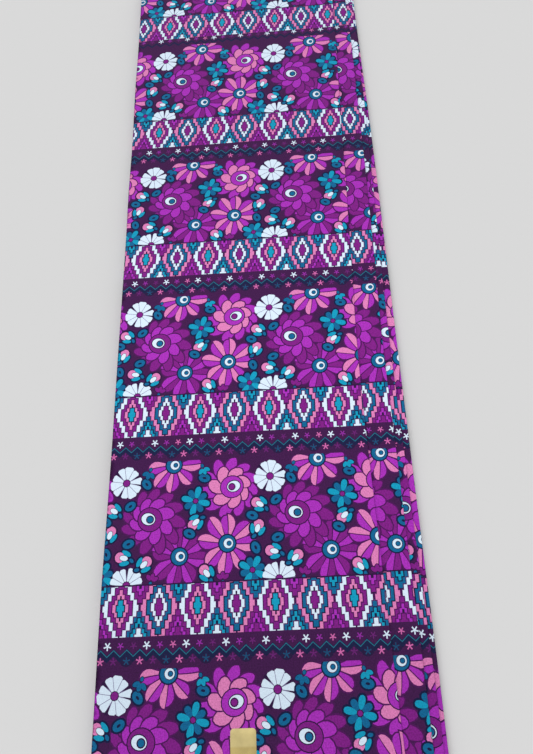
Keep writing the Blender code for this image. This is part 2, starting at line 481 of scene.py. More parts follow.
def seed(shapes, x, y, turn):
    # a blue ring with a dark heart
    pad = printing["blueLine"]
    long, short = flowerForm["seed"]
    rings = (
        # tint, half length, half width, points
        ("navy", long + pad, short + pad, 14),
        ("teal", long, short, 14),
        ("navy", 0.058, 0.032, 8),
    )
    for tint, wide, tall, count in rings:
        shapes.append((tint, oval(x, y, wide, tall, turn, count)))


def sprig(shapes, x, y, turn, tint="purple", size=0.2):
    # three small leaves, and a dot where they meet
    tilted, wide = flowerForm["sprigTilt"], flowerForm["sprigWide"] * size
    for pad in (flowerForm["sprigLine"], 0.0):
        for tilt in (-tilted, 0.0, tilted):
            points = petal("sprig", x, y, turn + tilt, 0.03, size + pad, wide + pad)
            shapes.append((edgeOf(tint) if pad else tint, points))
    x, y = polar(x, y, -0.07, turn)
    for tint, wide, tall in (("navy", 0.07, 0.06), ("teal", 0.053, 0.043)):
        shapes.append((tint, oval(x, y, wide, tall, turn, 9)))


def flowers(narrow):
    # every flower of one repeat, placed from the stars' near edge
    shapes = []
    top = printing["diamondBand"] + printing["starBand"]
    low = printing["period"]
    daisy(shapes, 2.00, top + 2.58, 0.83, 8, "magenta", "purple", 0.2)
    rosette(shapes, 1.18, top + 1.58, 0.86, ("purple", "magenta", "purple", "teal"), (12, 8), 0.3)
    rosette(shapes, 3.42, top + 0.80, 0.81, ("magenta", "pink", "magenta", "purple"), (11, 7), 2.9)
    daisy(shapes, 3.28, top + 2.30, 0.83, 8, "pink", "magenta", 0.1)
    if narrow:
        daisy(shapes, 1.80, top + 0.12, 0.78, 8, "pink", "magenta", 0.08)
    else:
        daisy(shapes, 1.80, top + 0.12, 0.78, 5, "pink", "magenta", 0.06, math.pi - 0.12)
    whiteFlower(shapes, 0.48, top + 0.56, 0.45, 10, 0.15)
    floret(shapes, 2.42, top + 1.14, 0.40, 0.25)
    floret(shapes, 3.93, top + 3.0, 0.38, 0.5)
    whiteFlower(shapes, 0.62, low - 0.02, 0.46, 6, math.pi, math.pi)
    buds = (
        # s, w, turn
        (0.16, 1.30, 0.5), (0.10, 1.93, 1.9), (2.42, 1.72, -0.7),
        (0.50, 2.55, 0.2), (2.72, 3.02, 0.9), (1.07, 2.73, 2.4),
    )
    for x, y, turn in buds:
        bud(shapes, x, top + y, turn)
    seeds = (
        (1.05, 0.62, 0.9), (2.66, 0.52, 0.2), (0.03, 2.44, 1.2), (2.26, 2.00, 0.4),
        (3.96, 1.60, 0.3), (0.62, 2.20, -0.3), (0.62, 1.20, -0.6),
    )
    for x, y, turn in seeds:
        seed(shapes, x, top + y, turn)
    sprig(shapes, 3.15, top + 3.20, -math.pi / 2)
    sprig(shapes, 1.27, top + 3.16, -1.3)
    sprig(shapes, 1.12, top + 0.28, 1.9, "teal", 0.22)
    sprig(shapes, 2.62, top + 0.24, 1.2, "cyan", 0.2)
    if not narrow:
        return shapes
    return [(tint, [(x, low - (low - y) * printing["spread"]) for x, y in line]) for tint, line in shapes]


# the stepped rings of the diamonds, and of the wedges that stand or hang between them:
# half widths, each with how far from the middle, or from the band's edge, it goes
steps = {
    "outer": ((0.466, 0.07), (0.42, 0.20), (0.338, 0.365), (0.269, 0.52), (0.175, 0.70)),
    "slit": ((0.022, 0.70),),
    "second": ((0.305, 0.165), (0.222, 0.30), (0.146, 0.49), (0.062, 0.63)),
    "third": ((0.204, 0.095), (0.148, 0.20), (0.093, 0.33), (0.037, 0.45)),
    "gap": ((0.118, 0.085), (0.076, 0.215), (0.022, 0.305)),
    "core": ((0.096, 0.065), (0.055, 0.195)),
    "lowMiddle": ((0.20, 0.075), (0.145, 0.175), (0.09, 0.32), (0.034, 0.43)),
    "lowGap": ((0.12, 0.07), (0.074, 0.21), (0.03, 0.30)),
    "lowCore": ((0.1, 0.052), (0.052, 0.19)),
    "highMiddle": ((0.095, 0.125), (0.036, 0.225)),
    "highGap": ((0.035, 0.075),),
}


def stepped(x, y, ring, up, down, pad=0.0):
    # one ring; up and down are how far its band lets it go
    points = []
    for way, limit in ((-1, up), (1, down)):
        side = []
        near = 0.0
        for wide, far in steps[ring]:
            if near < limit:
                edge = x + wide + pad
                side += [(edge, y + way * near), (edge, y + way * min(far + pad, limit))]
            near = far + pad
        points += side[::-1] if way < 0 else side
    return tidied(points + [(2 * x - a, b) for a, b in reversed(points)])


def diamonds():
    high = printing["diamondBand"]
    middle = printing["middle"]
    repeat = int(printing["repeat"])
    shapes = [("ink", [(0, 0), (repeat, 0), (repeat, high), (0, high)])]

    def ring(x, y, name, tint, up, down):
        if tint not in ("ink", "navy"):
            line, pad = ("navy", "fineBlueLine") if edgeOf(tint) == "navy" else ("wine", "fineLine")
            shapes.append((line, stepped(x, y, name, up, down, printing[pad])))
        shapes.append((tint, stepped(x, y, name, up, down)))

    for i in range(repeat):
        cool, warm = ("teal", "cyan", "white"), ("purple", "magenta", "purple")
        low, over = (warm, cool) if i % 2 else (cool, warm)
        hanging = (over[0], 0.0, printing["hanging"])
        standing = (low[0], high - printing["standing"], high)
        for tint, start, end in (hanging, standing):
            shapes.append((tint, [(i + 0.5, start), (i + 1.5, start), (i + 1.5, end), (i + 0.5, end)]))
        for name, tint in zip(("lowMiddle", "lowGap", "lowCore"), (low[1], edgeOf(low[1]), low[2])):
            ring(i + 1.0, high, name, tint, high, 0.0)
        for name, tint in zip(("highMiddle", "highGap"), (over[1], edgeOf(over[1]))):
            ring(i + 1.0, 0.0, name, tint, 0.0, high)
    for i in range(repeat):
        tints = ("pink", "teal", "white", "purple") if i % 2 else ("white", "purple", "pink", "cyan")
        names = ("outer", "slit", "second", "third", "gap", "core")
        for name, tint in zip(names, (tints[0], "ink", tints[1], tints[2], "ink", tints[3])):
            ring(i + 0.5, middle, name, tint, middle, high - middle)
    return shapes


# the band of stars: rows count from its far edge
starForm = {
    "shift": 0.06,  # how far all stands to the right of the diamonds' places
    "upper": 0.2,  # the rows
    "zigzag": 0.37,
    "lower": 0.55,
    "swing": 0.075,  # of the zigzag
    "line": (-0.014, 0.014),  # the zigzag's own line, and its shade
    "shade": (-0.035, 0.13),
    "narrowShade": (-0.035, 0.05),
    "narrowLift": 0.11,  # at the far end all is this much closer to the diamonds
    "whiteStar": 0.1,  # sizes, as a star's reach
    "upperStar": 0.085,
    "lowerStar": 0.095,
    "patch": (0.545, 0.16, 0.135),  # behind the blue stars: row, half length, half width
    "arm": 0.17,  # half the angle of an arm
    "waist": 0.26,  # how far out two arms part, as a share
}


def star(x, y, size, turn):
    # five thin arms
    points = []
    for i in range(5):
        a = turn + tau * i / 5
        points += [polar(x, y, size, a - starForm["arm"]), polar(x, y, size, a + starForm["arm"])]
        points.append(polar(x, y, starForm["waist"] * size, a + tau / 10))
    return points


def stars(narrow):
    # two rows of stars with a zigzag between them; the narrow band keeps the upper row and a shade below it
    top = printing["diamondBand"] - (starForm["narrowLift"] if narrow else 0.0)
    left, swing = starForm["shift"], starForm["swing"]
    count = 3 * int(printing["repeat"])
    middle = top + starForm["zigzag"]
    line = [(left + i / 6, middle + (swing if i % 2 else -swing)) for i in range(2 * count + 1)]
    shapes = []

    def zigzag(tint, low, high):
        shapes.append((tint, [(x, y + low) for x, y in line] + [(x, y + high) for x, y in reversed(line)]))

    if narrow:
        zigzag("zigzagShade", *starForm["narrowShade"])
    else:
        row, wide, tall = starForm["patch"]
        for i in range(2, count, 3):
            shapes.append(("starShade", oval(left + i / 3, top + row, wide, tall)))
        zigzag("zigzagShade", *starForm["shade"])
        zigzag("zigzag", *starForm["line"])
    for i in range(count):
        tint = "starPink" if i == 5 else ("white", "starPurple", "starDim")[i % 3]
        size = starForm["upperStar" if i % 3 else "whiteStar"]
        shapes.append((tint, star(left + (i + 0.5) / 3, top + starForm["upper"], size, math.pi / 2)))
        if not narrow:
            tint = ("starPink", "starDim", "starBlue")[i % 3]
            points = star(left + i / 3, top + starForm["lower"], starForm["lowerStar"], -math.pi / 2)
            shapes.append((tint, points))
    return shapes


def counterclockwise(points):
    area = sum(a[0] * b[1] - b[0] * a[1] for a, b in zip(points, points[1:] + points[:1]))
    return points if area > 0 else points[::-1]


def makeTile(narrow):
    # one repeat, cut where its shapes overlap: the lines between two colours, and a tree to look colours up
    wide, low = printing["repeat"], printing["period"]
    starsTop = printing["diamondBand"]
    starsEnd = starsTop + printing["narrowBand" if narrow else "starBand"]
    shapes = [("plum", [(0, 0), (wide, 0), (wide, low), (0, low)])]
    shapes += flowers(narrow)
    for tint, start, end in (("ink", low - printing["rule"], low), ("plum", starsTop, starsEnd)):
        shapes.append((tint, [(-1, start), (wide + 1, start), (wide + 1, end), (-1, end)]))
    shapes += stars(narrow) + diamonds()
    points, faces, tints = [], [], []
    for tint, outline in shapes:
        for shift in (-wide, 0.0, wide):
            moved = [(x + shift, y) for x, y in outline]
            if shift and (max(x for x, y in moved) <= 0 or min(x for x, y in moved) >= wide):
                continue
            faces.append(range(len(points), len(points) + len(moved)))
            points += [Vector(p) for p in counterclockwise(moved)]
            tints.append(dyeNames.index(tint))
    edge = range(len(points), len(points) + 4)
    points += [Vector(p) for p in ((0, 0), (wide, 0), (wide, low), (0, low))]
    whole = len(faces)
    faces = [list(f) for f in (*faces, edge)]
    touching = 1e-4  # places this close are one
    corners, _, triangles, _, _, owners = delaunay_2d_cdt(points, [], faces, 1, touching, True)
    kept = [(t, max(i for i in ids if i != whole)) for t, ids in zip(triangles, owners) if whole in ids]
    sides = {}
    for triangle, owner in kept:
        for a, b in zip(triangle, triangle[1:] + triangle[:1]):
            sides.setdefault((min(a, b), max(a, b)), []).append(tints[owner])
    lines = []
    for (a, b), found in sides.items():
        onEdge = len(found) == 1 and abs(corners[a].y - corners[b].y) < touching
        if onEdge or len(set(found)) > 1:
            lines.append((a, b))
    tree = BVHTree.FromPolygons([(p.x, p.y, 0.0) for p in corners], [t for t, _ in kept])
    used = sorted({i for line in lines for i in line})
    number = {old: new for new, old in enumerate(used)}
    return {
        "points": np.array([corners[i] for i in used]),
        "lines": np.array([(number[a], number[b]) for a, b in lines]),
        "tree": tree,
        "tints": [tints[owner] for _, owner in kept],
    }


tiles = {narrow: makeTile(narrow) for narrow in (False, True)}
print("one repeat of the print has", len(tiles[False]["lines"]), "lines")

# how the print lies: on the top leaf it is pulled a little askew
askew = np.array([
    # along, first white diamond (in pitches from the left), rise to the right, stretch
    (0.000, 0.500, 0.0101, -0.0028),
    (0.195, 0.505, 0.0101, -0.0028),
    (0.420, 0.538, 0.0050, -0.0077),
    (0.644, 0.719, 0.0040, 0.0040),
    (0.869, 0.967, 0.0060, 0.0060),
    (1.094, 1.197, 0.0101, 0.0100),
    (1.190, 1.290, 0.0101, 0.0100),
])
# and on the others it is shifted back across the strip from there, and lifted along it, in pitches
lay = np.array([
    # along, then shift and lift: of the second leaf, the third, the fourth and the inner layers
    (0.195, 14.295, 0.065, 29.13, -0.02, 46.86, -0.12, 2.3, 0.0),
    (0.420, 14.250, 0.080, 29.07, 0.00, 46.87, -0.12, 2.3, 0.0),
    (0.644, 14.255, 0.107, 29.11, 0.00, 46.96, 0.00, 2.3, 0.0),
    (0.869, 14.322, 0.080, 29.14, 0.05, 47.10, 0.00, 2.3, 0.0),
    (1.094, 14.388, 0.116, 29.20, 0.06, 47.20, 0.00, 2.3, 0.0),
])


def layOf(level, leaf):
    # first diamond, rise, stretch and lift of a leaf's print
    first, rise, stretch = (smoothed(askew, k, level) for k in (1, 2, 3))
    if not leaf:
        return first, rise, stretch, 0.0
    shift, lift = (smoothed(lay, 2 * leaf - 1 + k, level) for k in (0, 1))
    return first - shift, rise, stretch, lift * printing["pitch"]


def toCloth(s, w, row, leaf):
    # a point of the print's repeat, as across and along on a leaf laid flat
    level = printing["bandEdge"] + (row * printing["period"] - w) * printing["pitch"]
    first, rise, stretch, lift = layOf(level, leaf)
    across = (s - 0.5 + first) * printing["pitch"] * (1 + stretch)
    return across, level + lift + rise * across


def toPrint(across, along, leaf):
    level = along
    for _ in range(5):
        first, rise, stretch, lift = layOf(level, leaf)
        level = along - lift - rise * across
    first, rise, stretch, lift = layOf(level, leaf)
    s = across / (printing["pitch"] * (1 + stretch)) + 0.5 - first
    w = (printing["bandEdge"] - level) / printing["pitch"]
    return s % printing["repeat"], w % printing["period"], -np.floor(w / printing["period"])


def dyesAt(across, along, leaf):
    s, w, row = toPrint(across, along, leaf)
    found = np.empty(len(s), dtype=int)
    for narrow, tile in tiles.items():
        find, tints = tile["tree"].find_nearest, tile["tints"]
        for i in np.flatnonzero((row == printing["narrowRow"]) == narrow):
            found[i] = tints[find((s[i], w[i], 0.0))[2]]
    return found


# Cloth. Each sheet is laid out flat in (u, v): u runs along its folded section and v along the strip.
# Its face carries the print wherever it shows; the back follows it at the cotton's thickness.

clothCut = {
    "grid": 0.008,  # between the points of the soft surface
    "wideGrid": 0.024,  # and where other layers hide it
    "foldFlats": 8,
    "rows": (-1, 8),  # repeats of the print that a sheet may hold, along and across
    "turns": (-3, 24),
    "margin": 0.02,  # how near a repeat comes to a window before it is drawn
    "sliver": 2e-5,  # triangles thinner than this take a neighbour's dye
}


def clipped(points, lines, low, high):
    # the parts of lines that lie in a rectangle
    a, b = points[lines[:, 0]], points[lines[:, 1]]
    step = b - a
    step[np.abs(step) < 1e-12] = 1e-12
    first, last = (np.array(low) - a) / step, (np.array(high) - a) / step
    start = np.maximum(np.minimum(first, last).max(axis=1), 0.0)
    end = np.minimum(np.maximum(first, last).min(axis=1), 1.0)
    keep = end - start > 1e-9
    a, step, start, end = a[keep], step[keep], start[keep, None], end[keep, None]
    ends = np.stack((a + step * start, a + step * end), axis=1)
    ends = np.clip(ends, low, high)
    return ends


def printIn(sheet, window):
    # the print's lines in a window of the sheet
    (u0, u1), (v0, v1) = window, sheet["printed"]
    margin = clothCut["margin"]
    halves = np.array([(s, w) for s in (0.0, 0.5, 1.0) for w in (0.0, 0.5, 1.0)])
    corners = halves * (printing["repeat"], printing["period"])
    found = []
    for row in range(*clothCut["rows"]):
        tile = tiles[row == printing["narrowRow"]]
        for turn in range(*clothCut["turns"]):
            shift = turn * printing["repeat"]
            u, v = sheet["toSheet"](*toCloth(corners[:, 0] + shift, corners[:, 1], row, sheet["lay"]))
            near = u.max() > u0 - margin and u.min() < u1 + margin
            if not (near and v.max() > v0 - margin and v.min() < v1 + margin):
                continue
            s, w = tile["points"].T
            u, v = sheet["toSheet"](*toCloth(s + shift, w, row, sheet["lay"]))
            found.append(clipped(np.stack((u, v), axis=1), tile["lines"], (u0, v0), (u1, v1)))
    return np.concatenate(found)


def ringOf(sheet, points):
    # the points on the sheet's edge, in order
    (u0, u1), (v0, v1) = sheet["span"], sheet["reach"]
    near = 2e-7  # how close a point on the edge lies
    sides = (
        (points[:, 1] < v0 + near, points[:, 0]),
        (points[:, 0] > u1 - near, points[:, 1]),
        (points[:, 1] > v1 - near, -points[:, 0]),
        (points[:, 0] < u0 + near, -points[:, 1]),
    )
    ring = []
    for there, order in sides:
        side = np.flatnonzero(there)
        side = side[np.argsort(order[side])]
        ring += [int(i) for i in side if not ring or int(i) != ring[-1]]
    return ring[:-1] if ring[-1] == ring[0] else ring


def joined(triangles, blocked):
    # a number for each triangle, the same for all that no line parts
    region = list(range(len(triangles)))

    def rootOf(i):
        while region[i] != i:
            region[i] = region[region[i]]
            i = region[i]
        return i

    owner = {}
    for i, (a, b, c) in enumerate(triangles.tolist()):
        for p, q in ((a, b), (b, c), (a, c)):
            side = (p, q) if p < q else (q, p)
            if side in blocked:
                continue
            if side in owner:
                region[rootOf(i)] = rootOf(owner[side])
            else:
                owner[side] = i
    return np.array([rootOf(i) for i in range(len(triangles))])


def tintsOf(sheet, windows, corners, triangles, region):
    # the dye of each triangle, plum where no print shows
    p0, p1 = sheet["printed"]
    a, b, c = (corners[triangles[:, k]] for k in range(3))
    areas = (b[:, 0] - a[:, 0]) * (c[:, 1] - a[:, 1]) - (b[:, 1] - a[:, 1]) * (c[:, 0] - a[:, 0])
    longest = np.maximum(np.linalg.norm(b - a, axis=1), np.linalg.norm(c - b, axis=1))
    u, v = ((a + b + c) / 3).T
    tints = np.full(len(triangles), dyeNames.index("plum"))
    shown = np.zeros(len(triangles), dtype=bool)
    for first, last in windows:
        shown |= (u > first) & (u < last) & (v > p0) & (v < p1)
    tints[shown] = sheet["dyes"](u[shown], v[shown])
    # slivers take the dye of the largest triangle between the same lines
    order = np.argsort(areas)
    largest = np.zeros(len(triangles), dtype=int)
    largest[region[order]] = order
    thin = areas / np.maximum(longest, 1e-9) < clothCut["sliver"]
    tints[thin] = tints[largest[region[thin]]]
    return tints


def cutSide(sheet, windows, columns, soft, edge):
    # triangles of one side, and the dye of each
    points = [np.array(edge)]
    lines = []
    (v0, v1), (p0, p1) = sheet["reach"], sheet["printed"]

    def addLine(path):
        start = sum(len(p) for p in points)
        points.append(np.array(path, dtype=float))
        lines.extend((start + i, start + i + 1) for i in range(len(path) - 1))

    steps = np.linspace(v0, v1, round((v1 - v0) / clothCut["grid"]) + 1)
    for u in columns:
        addLine([(u, v) for v in steps])
    for a, b in windows:
        # the window's own edges, and the print in it
        addLine([(a, p0), (b, p0), (b, p1), (a, p1), (a, p0)])
        addLine([(a, sheet["middle"]), (b, sheet["middle"])])
        found = printIn(sheet, (a, b))
        start = sum(len(p) for p in points)
        points.append(found.reshape(-1, 2))
        lines.extend((start + 2 * i, start + 2 * i + 1) for i in range(len(found)))
    points.append(np.array(soft))
    every = [Vector(p) for p in np.concatenate(points)]
    touching = 1.5e-6  # places this close are one
    corners, sides, triangles, _, cuts, _ = delaunay_2d_cdt(every, lines, [], 0, touching, True)
    corners, triangles = np.array(corners), np.array(triangles)
    blocked = {(min(e), max(e)) for e, ids in zip(sides, cuts) if ids}
    tints = tintsOf(sheet, windows, corners, triangles, joined(triangles, blocked))
    return corners, triangles, tints


def layOut(sheet):
    # lines along the strip, points of the soft surface, and places on the edge
    (u0, u1), (v0, v1) = sheet["span"], sheet["reach"]
    grid, wide, flats = (clothCut[k] for k in ("grid", "wideGrid", "foldFlats"))
    columns, soft = set(), []
    levels = {u for window in (*sheet["front"], *sheet["back"]) for u in window}
    for a, b, kind in sheet["parts"]:
        if kind == "fold":
            columns.update(np.linspace(a, b, flats + 1))
            levels.update(np.linspace(a, b, flats + 1))
            continue
        columns.update((a, b))
        levels.update(np.linspace(a, b, max(round((b - a) / (2 * grid)), 1) + 1))
        step = grid if kind == "soft" else wide
        across = np.linspace(a, b, max(round((b - a) / step), 1) + 1)[1:-1]
        along = np.linspace(v0, v1, round((v1 - v0) / step) + 1)[1:-1]
        for i, u in enumerate(across):
            offset = 0.25 * step if i % 2 else -0.25 * step
            soft += [(u, v + offset) for v in along]
    columns = sorted(u for u in columns if u0 < u < u1)
    levels = sorted(levels)
    levels = [u for i, u in enumerate(levels) if i == 0 or u - levels[i - 1] > 1e-6]
    rows = np.linspace(v0, v1, round((v1 - v0) / grid) + 1)
    edge = [(u, v0) for u in levels] + [(u1, v) for v in rows[1:]]
    edge += [(u, v1) for u in levels[-2::-1]] + [(u0, v) for v in rows[-2:0:-1]]
    return columns, soft, edge


def rimOf(triangles, tints, ring, backRing):
    # the faces between the front's edge and the back's, and their dyes
    owners = {}
    for i, triangle in enumerate(triangles.tolist()):
        for a, b in zip(triangle, triangle[1:] + triangle[:1]):
            owners[a, b] = i
    rim, rimDyes = [], []
    for i, a in enumerate(ring):
        j = (i + 1) % len(ring)
        rim.append((backRing[i], backRing[j], ring[j], a))
        rimDyes.append(tints[owners[a, ring[j]]])
    return rim, rimDyes


def surfaceOf(sheet, face, back):
    # places of both sides, and normals from the surface's own slopes
    small = 2e-5  # step to each side that a slope is taken over
    points, normals = [], []
    for flat, depth, side in ((face, 0.0, 1.0), (back, sheet["thick"], -1.0)):
        u, v = flat[:, 0], flat[:, 1]
        points.append(sheet["place"](u, v, depth))
        alongU = sheet["place"](u + small, v, depth) - sheet["place"](u - small, v, depth)
        alongV = sheet["place"](u, v + small, depth) - sheet["place"](u, v - small, depth)
        normal = np.cross(alongU, alongV) * side
        normals.append(normal / np.linalg.norm(normal, axis=1)[:, None])
    return np.concatenate(points), np.concatenate(normals)


def makeCloth(name, sheet):
    columns, soft, edge = layOut(sheet)
    face, faceTriangles, faceDyes = cutSide(sheet, sheet["front"], columns, soft, edge)
    ring = ringOf(sheet, face)
    back, backTriangles, backDyes = cutSide(sheet, sheet["back"], columns, soft, face[ring])
    backRing = ringOf(sheet, back)
    if len(ring) != len(backRing):
        raise ValueError(f"{name}: the edge has {len(ring)} points in front and {len(backRing)} behind")
    count = len(face)
    rim, rimDyes = rimOf(faceTriangles, faceDyes, ring, [count + i for i in backRing])
    points, normals = surfaceOf(sheet, face, back)
    faces = faceTriangles.tolist() + (backTriangles[:, ::-1] + count).tolist() + rim
    mesh = bpy.data.meshes.new(name)
    mesh.from_pydata(points.tolist(), [], faces)
    mesh.polygons.foreach_set("use_smooth", np.ones(len(faces), dtype=bool))
    loops = np.array([i for f in faces for i in f])
    sizes = np.array([len(f) for f in faces])
    loopNormals = normals[loops]
    start = sizes[:-len(rim)].sum()
    for i, f in enumerate(rim):
        a, b, c = points[f[0]], points[f[1]], points[f[3]]
        normal = np.cross(b - a, c - a)
        loopNormals[start + 4 * i:start + 4 * i + 4] = normal / max(np.linalg.norm(normal), 1e-12)
    mesh.normals_split_custom_set(loopNormals.tolist())

    # colours and flat maps
    table = np.array([[((c / 255 + 0.055) / 1.055) ** 2.4 for c in dyes[k]] + [1.0] for k in dyeNames])
    faceTints = np.concatenate((faceDyes, backDyes, rimDyes)).astype(int)
    layer = mesh.color_attributes.new(name="dye", type="FLOAT_COLOR", domain="CORNER")
    layer.data.foreach_set("color", table[np.repeat(faceTints, sizes)].ravel())
    flats = np.concatenate((face, back))[loops]
    mesh.uv_layers.new(name="cloth").data.foreach_set("uv", flats.ravel())
    bake = bakeMap(sheet, flats, (len(faceTriangles), len(backTriangles)))
    mesh.uv_layers.new(name="OFBake").data.foreach_set("uv", bake.ravel())
    piece = bpy.data.objects.new(name, mesh)
    bpy.context.scene.collection.objects.link(piece)
    print(name, "has", len(faces), "faces")
    return piece


# the square that a sheet's looks are baked on: the near and far half of its face, its back and its rim
bakeForm = {
    "margin": 0.004,
    "half": 0.43,  # width of one half of the face
    "next": 0.44,  # from the near half to the far one
    "back": 0.885,
    "backWide": 0.10,
    "rim": (0.989, 0.995),
    "rimShare": 0.9,  # how much of its own step a rim face takes
}


def bakeMap(sheet, flats, counts):
    (v0, v1), middle = sheet["reach"], sheet["middle"]
    margin = bakeForm["margin"]
    high = 1 - 2 * margin
    first = counts[0] * 3
    second = first + counts[1] * 3
    result = np.empty((len(flats), 2))
    u, v = flats[:first].T
    far = np.repeat(v.reshape(-1, 3).mean(axis=1) > middle, 3)
    places, shares, backShares = sheet["bake"]
    result[:first, 0] = margin + np.interp(u, places, shares) * bakeForm["half"] + far * bakeForm["next"]
    result[:first, 1] = margin + high * np.where(far, (v - middle) / (v1 - middle), (v - v0) / (middle - v0))
    u, v = flats[first:second].T
    result[first:second, 0] = bakeForm["back"] + bakeForm["backWide"] * np.interp(u, places, backShares)
    result[first:second, 1] = margin + high * (v - v0) / (v1 - v0)
    rimCorners = len(flats) - second
    face, corner = np.divmod(np.arange(rimCorners), 4)
    result[second:, 0] = np.where(np.isin(corner, (0, 1)), *bakeForm["rim"])
    forward = face + np.isin(corner, (1, 2)) * bakeForm["rimShare"]
    result[second:, 1] = margin + high * forward / max(rimCorners // 4, 1)
    return result


# Leaves. A leaf is one sheet: its upper layer, the fold at the right and its lower layer, and on all
# but the top one also the fold at the left, which hangs it on the leaf above.

innerForm = {
    "layers": 8,
    "thick": 0.00035,
    "flat": 0.353,  # length of a layer in u
    "left": 0.0016,
    "right": 0.0018,  # behind the fourth leaf's fold
    "wave": 0.0005,  # how far a fold wanders aside
    "selvedge": 0.012,
    "window": 0.001,  # how far the print runs on past a fold
    "turn": 0.0005125,  # radius of the fold that leads on from the fourth leaf
    "bake": (0.01, 0.08, 0.04375),  # room on the bake's square: the tab, then each fold and layer
    "folds": (
        # how far each fold is set in, and its far and near ends
        (0.0000, 0.0026, 0.0012),
        (0.0004, 0.0010, 0.0034),
        (0.0009, 0.0036, 0.0022),
        (0.0002, 0.0018, 0.0008),
        (0.0012, 0.0008, 0.0029),
        (0.0000, 0.0031, 0.0016),
        (0.0007, 0.0022, 0.0037),
        (0.0015, 0.0012, 0.0020),
        (0.0004, 0.0028, 0.0009),
    ),
}
leafForm = {
    "upper": 0.310,  # length of a layer in u
    "tab": 0.002,  # end of the left fold, beside the layer above it
    "seam": 0.0003,
    "settle": 0.014,  # stretch over which a layer comes down to the fold under it
    "window": 0.005,  # how far the print runs on under the leaf above
    "under": 0.003,  # and past the right fold, beneath the leaf
    "droop": 0.0008,  # of the cloth's cut end
    "ends": (
        # left, near, far: how far the leaf is set in
        (0.0000, 0.0030, 0.0000),
        (0.0007, 0.0000, 0.0035),
        (0.0012, 0.0045, 0.0012),
        (0.0005, 0.0015, 0.0048),
    ),
}
foldLength = math.pi * foldReach

# the cut end isn't quite straight
cutEnd = np.array([
    # along, inset
    (0.000, -0.0002),
    (0.100, -0.0007),
    (0.210, -0.0014),
    (0.300, -0.0006),
    (0.380, 0.0001),
    (0.480, 0.0002),
    (0.580, 0.0006),
    (0.680, 0.0008),
    (0.760, 0.0002),
    (0.850, 0.0011),
    (0.960, 0.0002),
    (1.050, 0.0010),
    (1.190, 0.0003),
])

# soft ridges and troughs in the upper leaves
creaseForm = {
    "fade": 0.02,  # stretch over which an end dies away
    "bow": 0.004,  # how far the line is bent aside
}
creases = [
    # across, along at one end, at the other, half width, height
    (0.00, 0.305, 0.150, 0.322, 0.014, -0.00022),
    (0.09, 0.470, 0.300, 0.440, 0.017, 0.00024),
    (0.00, 0.415, 0.070, 0.405, 0.012, 0.00020),
    (0.16, 0.640, 0.310, 0.668, 0.016, -0.00024),
    (0.02, 0.735, 0.200, 0.720, 0.018, 0.00022),
    (0.21, 0.870, 0.235, 1.090, 0.015, -0.00020),
    (0.08, 0.960, 0.110, 1.160, 0.018, 0.00022),
    (0.22, 0.150, 0.300, 0.262, 0.015, 0.00020),
    (0.05, 0.110, 0.075, 0.245, 0.016, -0.00018),
]


def ruffle(across, along):
    total = np.zeros(np.broadcast(across, along).shape)
    for x0, y0, x1, y1, width, height in creases:
        reach = math.hypot(x1 - x0, y1 - y0)
        dx, dy = (x1 - x0) / reach, (y1 - y0) / reach
        forward = (across - x0) * dx + (along - y0) * dy
        aside = (across - x0) * -dy + (along - y0) * dx
        past = np.maximum(np.abs(forward - reach / 2) - reach / 2 + creaseForm["fade"], 0.0)
        bow = creaseForm["bow"] * np.sin(forward / reach * 3.0)
        total += height * np.exp(-(((aside - bow) / width) ** 2) - (past / creaseForm["fade"]) ** 2)
    return total


def leafSides(leaf, along):
    # where the upper layer starts and ends, and where the lower one ends
    left = leafForm["ends"][leaf][0] + foldReach if leaf else smoothed(cutEnd, 1, along)
    right = foldLine(leaf, along) - foldReach
    end = leafForm["tab"] + leafForm["seam"]
    if leaf + 1 < strip["leaves"]:
        end += leafForm["ends"][leaf + 1][0] + foldReach
    else:
        end += innerForm["left"] + innerForm["turn"]
    return left, right, end


